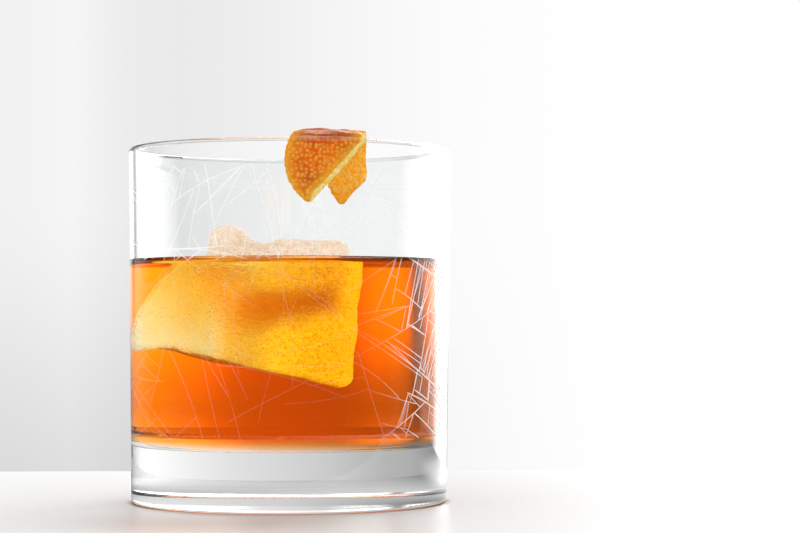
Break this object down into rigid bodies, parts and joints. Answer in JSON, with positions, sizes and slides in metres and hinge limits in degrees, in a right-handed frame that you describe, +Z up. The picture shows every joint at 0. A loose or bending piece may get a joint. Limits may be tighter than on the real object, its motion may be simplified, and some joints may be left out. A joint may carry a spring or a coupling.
{
  "type": "old fashioned cocktail",
  "caption": "Straight-sided heavy-based tumbler of amber cocktail with a large block of ice standing out of it and a triangle of orange peel folded over the rim.",
  "frame": {"origin": "on the axis of the glass, on its flat underside, at the level of the table", "axes": "+Z up along the axis of the glass, front towards -Y, where the peel hangs over the rim"},
  "size_m": [0.0826, 0.0846, 0.0916],
  "materials": {
    "clear_glass": "clear, polished",
    "amber_drink": "clear amber liquid",
    "clouded_ice": "wet, slightly clouded",
    "orange_rind": "pored, slightly glossy"
  },
  "bodies": {
    "root": {"glass": "clear_glass", "drink": "amber_drink", "ice": "clouded_ice", "orange_peel": "orange_rind"}
  },
  "joints": []
}
